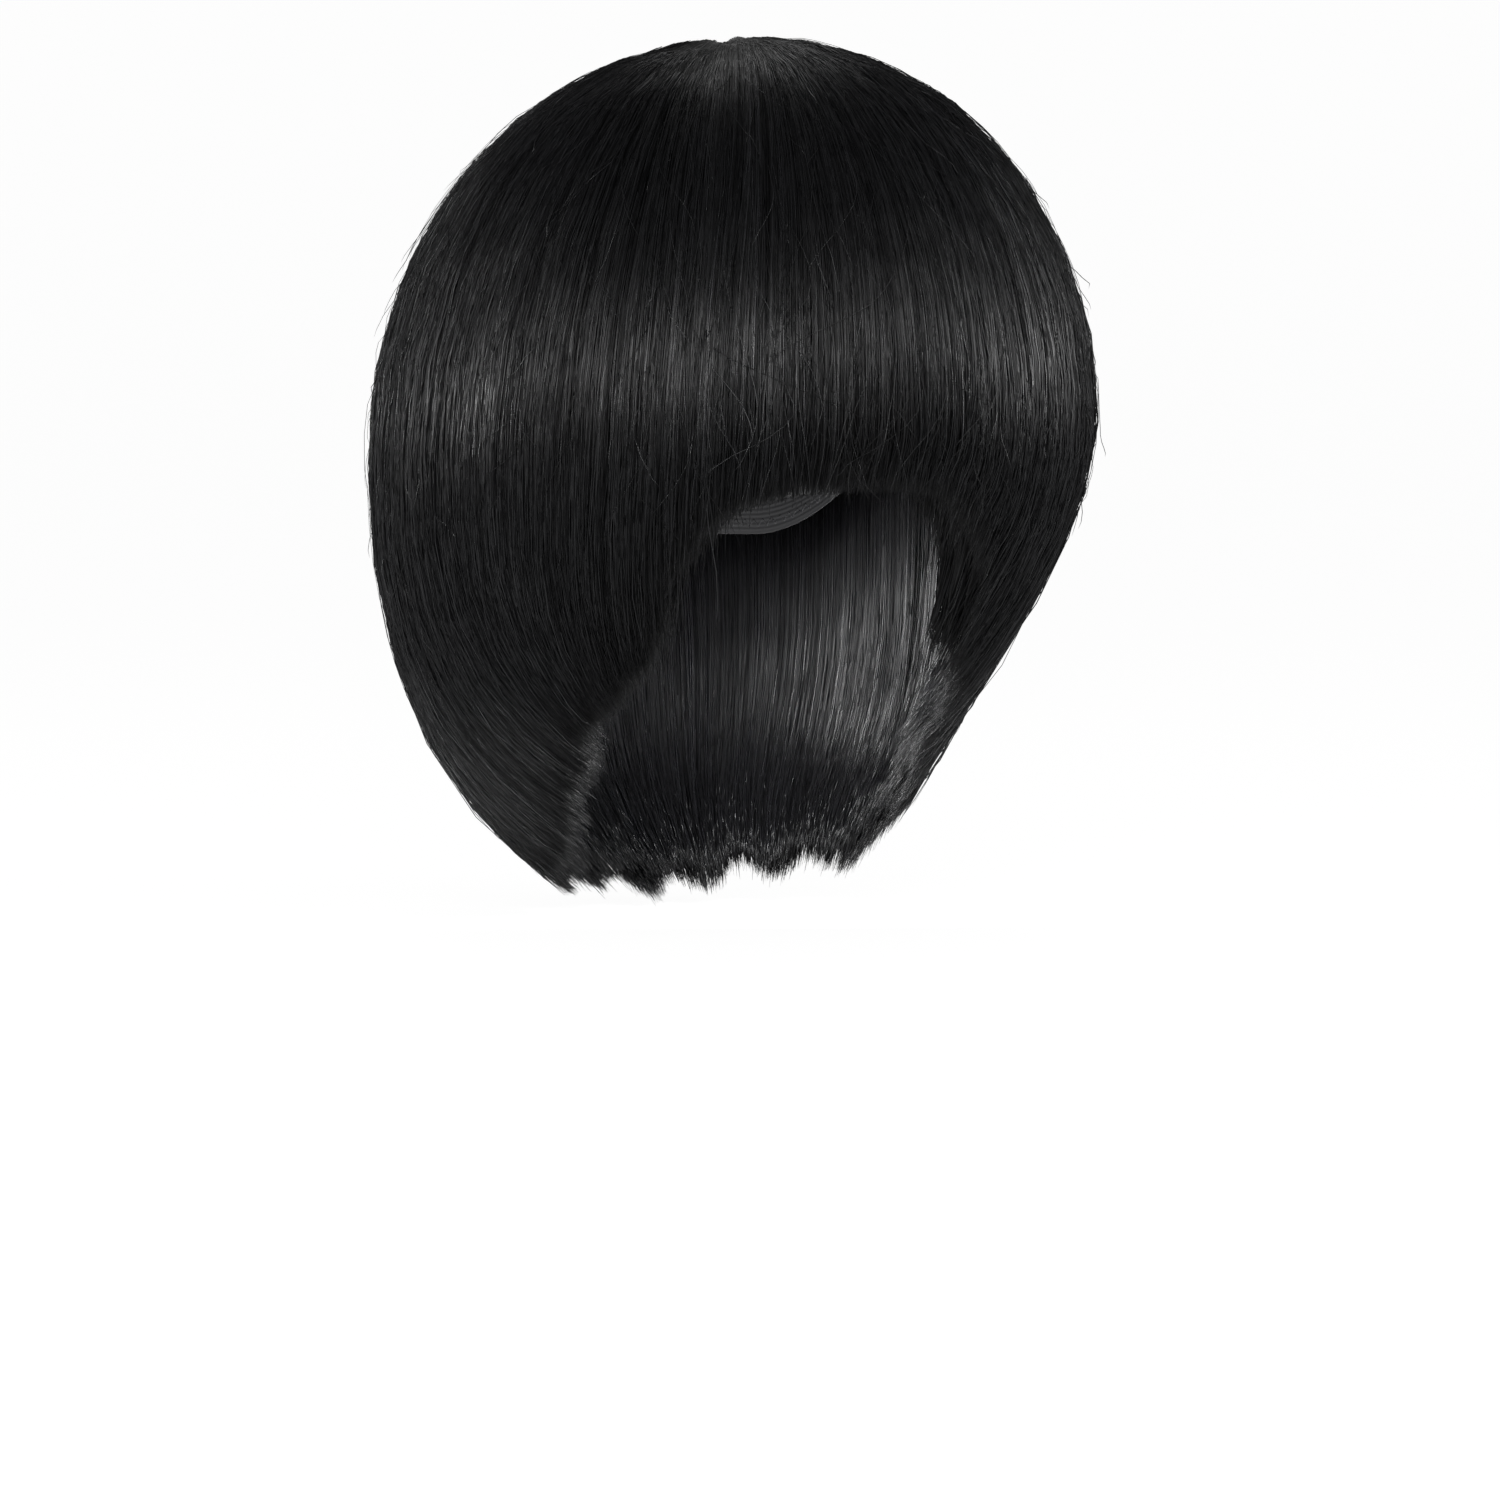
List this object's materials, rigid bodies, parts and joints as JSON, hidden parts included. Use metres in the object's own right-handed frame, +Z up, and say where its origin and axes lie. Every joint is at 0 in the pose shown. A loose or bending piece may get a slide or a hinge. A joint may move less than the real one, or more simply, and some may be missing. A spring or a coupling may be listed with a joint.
{
  "type": "costume wig",
  "caption": "Bowl-cut bob wig on a stretch cap, with weft rows, bendable ear tabs and adjuster straps that hook into pockets at the nape.",
  "frame": {"origin": "middle of the flat inner face of the crown patch, where the top of a head or stand touches the wig", "axes": "+Z up, the wearer faces -Y, +X is the wearer's left"},
  "size_m": [0.2332, 0.2634, 0.2782],
  "materials": {
    "hair": "black synthetic fibre, satin sheen",
    "net": "black stretch net",
    "elastic": "black woven elastic",
    "patch": "charcoal knitted patch",
    "velvet": "black short-pile velvet",
    "weft": "black stitched weft header",
    "stay": "translucent white plastic strip",
    "hook": "bright steel"
  },
  "bodies": {
    "cap": {"cap_net": "net", "comfort_strip": "velvet", "crown_patch": "patch", "front_band": "elastic", "front_weft_1": "weft", "front_weft_2": "weft", "hair_front_row_1": "hair", "hair_front_row_2": "hair", "hair_row_1": "hair", "hair_row_2": "hair", "hair_row_3": "hair", "hair_row_4": "hair", "hair_row_5": "hair", "hair_top_back": "hair", "hair_top_front": "hair", "hair_top_left": "hair", "hair_top_right": "hair", "nape_band": "elastic", "pocket_tape_left": "elastic", "pocket_tape_right": "elastic", "rib_back_centre": "elastic", "rib_back_left": "elastic", "rib_back_right": "elastic", "rib_side_left": "elastic", "rib_side_right": "elastic", "side_band_left": "elastic", "side_band_right": "elastic", "weft_row_1": "weft", "weft_row_2": "weft", "weft_row_3": "weft", "weft_row_4": "weft", "weft_row_5": "weft"},
    "ear_tab_left": {"ear_tab_left": "elastic", "ear_stay_left": "stay", "ear_lining_left": "velvet"},
    "strap_left": {"strap_left": "elastic"},
    "hook_left": {"hook_left": "hook", "strap_loop_left": "elastic"},
    "ear_tab_right": {"ear_tab_right": "elastic", "ear_stay_right": "stay", "ear_lining_right": "velvet"},
    "strap_right": {"strap_right": "elastic"},
    "hook_right": {"hook_right": "hook", "strap_loop_right": "elastic"}
  },
  "joints": [
    {"name": "ear_tab_left_bend", "type": "hinge", "parent": "cap", "child": "ear_tab_left", "pos_m": [0.06494, -0.03607, -0.0702], "axis": [0.4092, 0.8166, -0.4072], "range_deg": [0, 35], "stiffness_Nm_per_rad": 0.02},
    {"name": "strap_left_swing", "type": "hinge", "parent": "cap", "child": "strap_left", "pos_m": [0.05476, 0.06236, -0.13382], "axis": [-0.1349, 0.0615, 0.989], "range_deg": [0, 75], "stiffness_Nm_per_rad": 0.002},
    {"name": "hook_left_stretch", "type": "slide", "parent": "strap_left", "child": "hook_left", "axis": [-0.8998, 0.4104, -0.1482], "range_m": [0, 0.015], "stiffness_N_per_m": 60},
    {"name": "ear_tab_right_bend", "type": "hinge", "parent": "cap", "child": "ear_tab_right", "pos_m": [-0.06494, -0.03607, -0.0702], "axis": [0.4092, -0.8166, 0.4072], "range_deg": [0, 35], "stiffness_Nm_per_rad": 0.02},
    {"name": "strap_right_swing", "type": "hinge", "parent": "cap", "child": "strap_right", "pos_m": [-0.05476, 0.06236, -0.13382], "axis": [-0.1349, -0.0615, -0.989], "range_deg": [0, 75], "stiffness_Nm_per_rad": 0.002},
    {"name": "hook_right_stretch", "type": "slide", "parent": "strap_right", "child": "hook_right", "axis": [0.8998, 0.4104, -0.1482], "range_m": [0, 0.015], "stiffness_N_per_m": 60}
  ]
}
